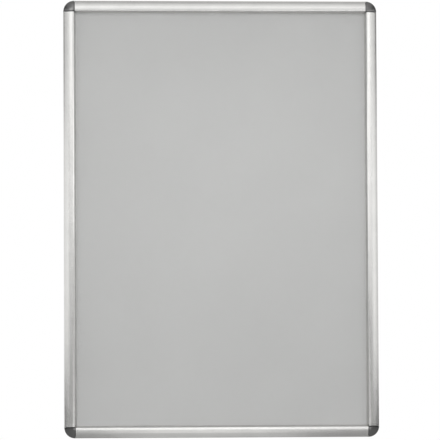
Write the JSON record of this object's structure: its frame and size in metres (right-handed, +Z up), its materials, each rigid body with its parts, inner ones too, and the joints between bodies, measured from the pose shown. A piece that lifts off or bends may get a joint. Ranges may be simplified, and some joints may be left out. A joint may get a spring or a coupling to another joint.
{
  "type": "wall snap frame",
  "caption": "Wall frame for one large printed sheet, with hinged snap-open aluminium rails and rounded plastic corner caps.",
  "frame": {"origin": "centre of the frame's outline, on the wall plane at the back of the base rails", "axes": "+X to the viewer's right along the top rail, +Z up, +Y into the wall; the front faces -Y"},
  "size_m": [0.634, 0.015, 0.881],
  "materials": {
    "anodised_lid": "satin natural anodised",
    "anodised_base": "natural anodised",
    "cap_plastic": "satin moulded, grey with a metallic sheen",
    "bracket_plastic": "moulded",
    "panel_plastic": "fine matt",
    "clear_cover": "clear, anti-glare",
    "spring_steel": "tempered strip",
    "screw_steel": "zinc plated"
  },
  "bodies": {
    "frame_back": {"top_base_rail": "anodised_base", "top_tongue_screws": "screw_steel", "top_spring_1": "spring_steel", "top_spring_2": "spring_steel", "right_base_rail": "anodised_base", "right_tongue_screws": "screw_steel", "right_spring_1": "spring_steel", "right_spring_2": "spring_steel", "right_spring_3": "spring_steel", "bottom_base_rail": "anodised_base", "bottom_tongue_screws": "screw_steel", "bottom_spring_1": "spring_steel", "bottom_spring_2": "spring_steel", "left_base_rail": "anodised_base", "left_tongue_screws": "screw_steel", "left_spring_1": "spring_steel", "left_spring_2": "spring_steel", "left_spring_3": "spring_steel", "top_left_bracket": "bracket_plastic", "top_right_bracket": "bracket_plastic", "bottom_right_bracket": "bracket_plastic", "bottom_left_bracket": "bracket_plastic", "back_panel": "panel_plastic", "cover_sheet": "clear_cover"},
    "top_lid_body": {"top_lid": "anodised_lid"},
    "right_lid_body": {"right_lid": "anodised_lid"},
    "bottom_lid_body": {"bottom_lid": "anodised_lid"},
    "left_lid_body": {"left_lid": "anodised_lid"},
    "top_left_cap_body": {"top_left_cap": "cap_plastic"},
    "top_right_cap_body": {"top_right_cap": "cap_plastic"},
    "bottom_right_cap_body": {"bottom_right_cap": "cap_plastic"},
    "bottom_left_cap_body": {"bottom_left_cap": "cap_plastic"}
  },
  "joints": [
    {"name": "top_lid_hinge", "type": "hinge", "parent": "frame_back", "child": "top_lid_body", "pos_m": [0, -0.0052, 0.43764], "axis": [-1, 0, 0], "range_deg": [0, 95], "deforming": ["top_spring_1", "top_spring_2"]},
    {"name": "right_lid_hinge", "type": "hinge", "parent": "frame_back", "child": "right_lid_body", "pos_m": [0.31414, -0.0052, 0], "axis": [0, 0, 1], "range_deg": [0, 95], "deforming": ["right_spring_1", "right_spring_2", "right_spring_3"]},
    {"name": "bottom_lid_hinge", "type": "hinge", "parent": "frame_back", "child": "bottom_lid_body", "pos_m": [0, -0.0052, -0.43764], "axis": [1, 0, 0], "range_deg": [0, 95], "deforming": ["bottom_spring_1", "bottom_spring_2"]},
    {"name": "left_lid_hinge", "type": "hinge", "parent": "frame_back", "child": "left_lid_body", "pos_m": [-0.31414, -0.0052, 0], "axis": [0, 0, -1], "range_deg": [0, 95], "deforming": ["left_spring_1", "left_spring_2", "left_spring_3"]},
    {"name": "top_left_cap_slide", "type": "slide", "parent": "frame_back", "child": "top_left_cap_body", "axis": [0, -1, 0], "range_m": [0, 0.02]},
    {"name": "top_right_cap_slide", "type": "slide", "parent": "frame_back", "child": "top_right_cap_body", "axis": [0, -1, 0], "range_m": [0, 0.02]},
    {"name": "bottom_right_cap_slide", "type": "slide", "parent": "frame_back", "child": "bottom_right_cap_body", "axis": [0, -1, 0], "range_m": [0, 0.02]},
    {"name": "bottom_left_cap_slide", "type": "slide", "parent": "frame_back", "child": "bottom_left_cap_body", "axis": [0, -1, 0], "range_m": [0, 0.02]}
  ]
}
